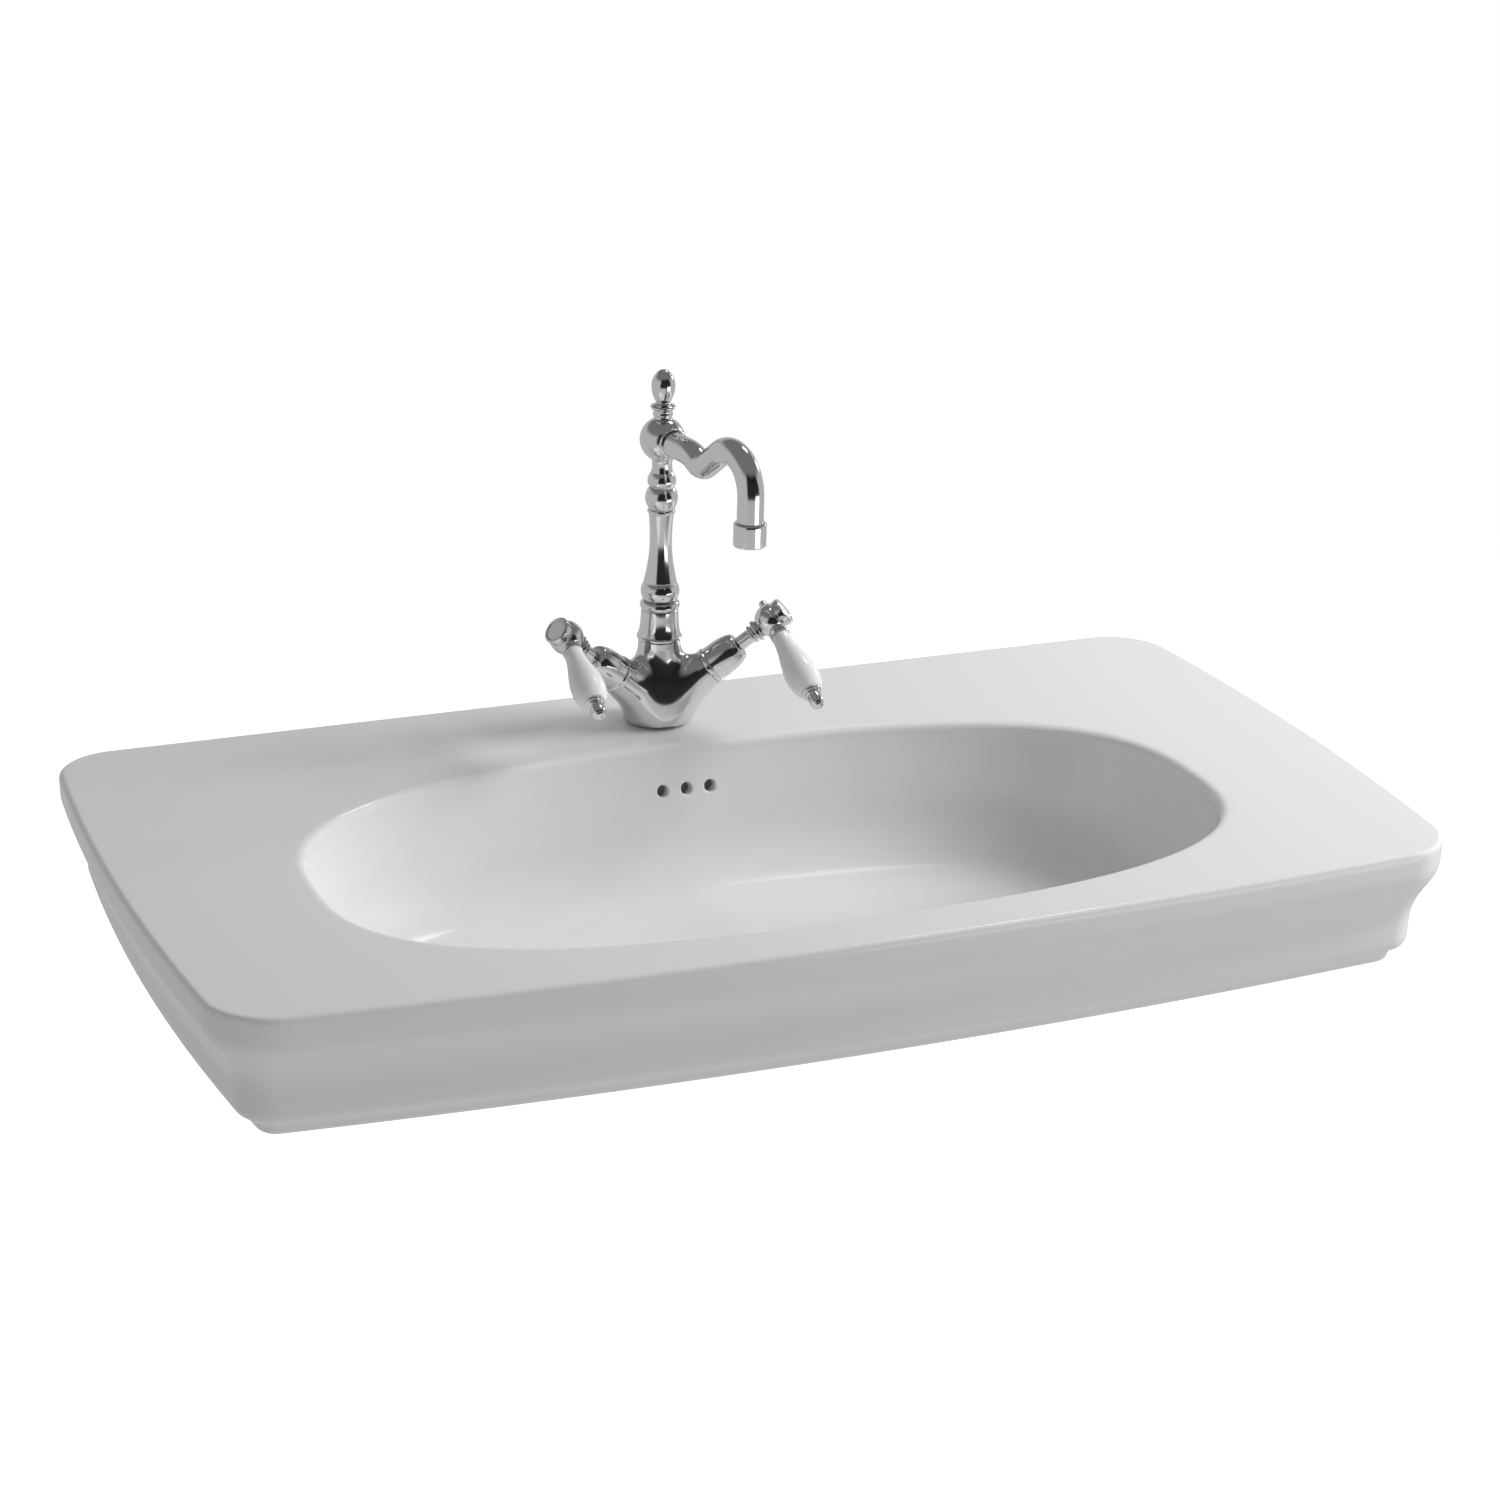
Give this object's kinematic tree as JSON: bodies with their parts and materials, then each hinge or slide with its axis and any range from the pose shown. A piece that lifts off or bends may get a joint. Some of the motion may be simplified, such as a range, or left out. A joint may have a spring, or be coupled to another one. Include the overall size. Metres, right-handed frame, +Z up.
{
  "type": "wall-hung washbasin with mixer tap",
  "caption": "Wide rectangular glazed ceramic washbasin with an oval bowl, moulded skirt and overflow, carrying a one-hole chrome mixer tap with porcelain levers and a swivel spout.",
  "frame": {"origin": "on the basin's flat wall face, midway between the two wall bolts", "axes": "+Z up, +X to the right seen from the front, +Y into the wall, so the basin reaches out along -Y"},
  "size_m": [1, 0.61, 0.4921],
  "materials": {
    "glaze": "gloss white glaze",
    "porcelain": "gloss white porcelain",
    "chrome": "polished chrome plate",
    "brass": "machined",
    "steel": "zinc-plated steel",
    "rubber": "matt black rubber",
    "plastic": "moulded plastic"
  },
  "bodies": {
    "basin_and_tap": {"basin": "glaze", "wall_bolt_left": "steel", "wall_washer_left": "steel", "wall_nut_left": "steel", "wall_bolt_right": "steel", "wall_washer_right": "steel", "wall_nut_right": "steel", "waste_body": "chrome", "tap_body": "chrome", "column_collar": "chrome", "column_shaft": "chrome", "waste_flange_seal": "rubber", "waste_gasket": "rubber", "tap_base_seal": "rubber", "clamp_gasket": "rubber", "swivel_seal_lower": "rubber", "swivel_seal_upper": "rubber", "waste_backnut": "brass", "clamp_nut_front": "brass", "clamp_nut_back": "brass", "inlet_hot": "brass", "inlet_cold": "brass", "clamp_plate": "steel", "clamp_stud_front": "steel", "clamp_stud_back": "steel", "swivel_washer": "plastic", "hot_shroud": "chrome", "hot_cartridge": "brass", "cold_shroud": "chrome", "cold_cartridge": "brass"},
    "spout": {"spout_hub": "chrome", "finial": "chrome", "spout_tube": "chrome", "spout_ring": "chrome", "aerator_housing": "chrome", "aerator_insert": "plastic"},
    "hot_handle": {"hot_spindle": "brass", "hot_handle_neck": "chrome", "hot_hub": "chrome", "hot_index_disc": "porcelain", "hot_hub_screw": "chrome", "hot_lever_collar": "chrome", "hot_lever_grip": "porcelain", "hot_lever_tip": "chrome", "hot_lever_rod": "steel"},
    "cold_handle": {"cold_spindle": "brass", "cold_handle_neck": "chrome", "cold_hub": "chrome", "cold_index_disc": "porcelain", "cold_hub_screw": "chrome", "cold_lever_collar": "chrome", "cold_lever_grip": "porcelain", "cold_lever_tip": "chrome", "cold_lever_rod": "steel"},
    "waste_plug": {"waste_plug": "chrome", "plug_seal": "rubber", "plug_stem": "brass"}
  },
  "joints": [
    {"name": "spout_swivel", "type": "hinge", "parent": "basin_and_tap", "child": "spout", "pos_m": [0, -0.0753, 0.261], "axis": [0, 0, 1], "range_deg": [-72.6, 47.4]},
    {"name": "hot_turn", "type": "hinge", "parent": "basin_and_tap", "child": "hot_handle", "pos_m": [-0.04166, -0.086, 0.10811], "axis": [-0.7452, -0.1913, 0.6388], "range_deg": [0, 90]},
    {"name": "cold_turn", "type": "hinge", "parent": "basin_and_tap", "child": "cold_handle", "pos_m": [0.0401, -0.09085, 0.10811], "axis": [-0.7173, 0.2782, -0.6388], "range_deg": [0, 90]},
    {"name": "plug_lift", "type": "slide", "parent": "basin_and_tap", "child": "waste_plug", "axis": [0, 0, 1], "range_m": [0, 0.008]}
  ]
}
